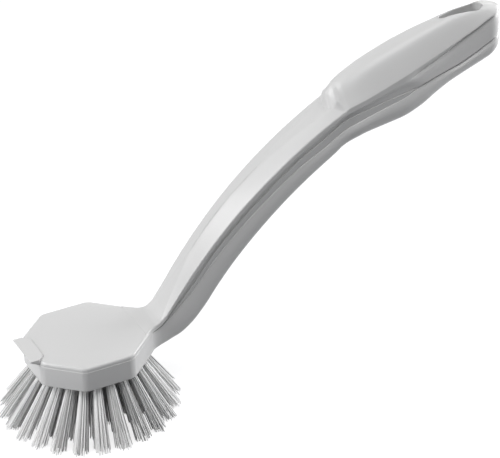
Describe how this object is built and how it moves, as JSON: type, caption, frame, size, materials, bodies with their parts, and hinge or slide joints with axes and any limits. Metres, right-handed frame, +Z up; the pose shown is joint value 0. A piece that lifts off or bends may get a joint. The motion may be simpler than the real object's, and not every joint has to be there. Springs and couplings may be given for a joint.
{
  "type": "scrubbing brush",
  "caption": "Hand-held scrubbing brush: octagonal head with a scraper lip, splayed round bristle tufts, arched neck and leaf-shaped grip with a hanging slot.",
  "frame": {"origin": "bottom centre of the bounding box, on the plane of the bristle tips", "axes": "X runs along the brush from the head to the end of the grip, Y across it, Z up from the bristle tips"},
  "size_m": [0.2622, 0.0856, 0.1571],
  "materials": {
    "grey_polypropylene": "semi-gloss",
    "grey_filament": "satin"
  },
  "bodies": {
    "root": {"handle_body": "grey_polypropylene", "tuft_outer_01": "grey_filament", "tuft_outer_02": "grey_filament", "tuft_outer_03": "grey_filament", "tuft_outer_04": "grey_filament", "tuft_outer_05": "grey_filament", "tuft_outer_06": "grey_filament", "tuft_outer_07": "grey_filament", "tuft_outer_08": "grey_filament", "tuft_outer_09": "grey_filament", "tuft_outer_10": "grey_filament", "tuft_outer_11": "grey_filament", "tuft_outer_12": "grey_filament", "tuft_outer_13": "grey_filament", "tuft_outer_14": "grey_filament", "tuft_outer_15": "grey_filament", "tuft_outer_16": "grey_filament", "tuft_outer_17": "grey_filament", "tuft_outer_18": "grey_filament", "tuft_outer_19": "grey_filament", "tuft_outer_20": "grey_filament", "tuft_outer_21": "grey_filament", "tuft_outer_22": "grey_filament", "tuft_outer_23": "grey_filament", "tuft_outer_24": "grey_filament", "tuft_second_01": "grey_filament", "tuft_second_02": "grey_filament", "tuft_second_03": "grey_filament", "tuft_second_04": "grey_filament", "tuft_second_05": "grey_filament", "tuft_second_06": "grey_filament", "tuft_second_07": "grey_filament", "tuft_second_08": "grey_filament", "tuft_second_09": "grey_filament", "tuft_second_10": "grey_filament", "tuft_second_11": "grey_filament", "tuft_second_12": "grey_filament", "tuft_second_13": "grey_filament", "tuft_second_14": "grey_filament", "tuft_second_15": "grey_filament", "tuft_second_16": "grey_filament", "tuft_second_17": "grey_filament", "tuft_third_01": "grey_filament", "tuft_third_02": "grey_filament", "tuft_third_03": "grey_filament", "tuft_third_04": "grey_filament", "tuft_third_05": "grey_filament", "tuft_third_06": "grey_filament", "tuft_third_07": "grey_filament", "tuft_third_08": "grey_filament", "tuft_third_09": "grey_filament", "tuft_third_10": "grey_filament", "tuft_third_11": "grey_filament", "tuft_centre_01": "grey_filament", "tuft_centre_02": "grey_filament", "tuft_centre_03": "grey_filament"}
  },
  "joints": []
}
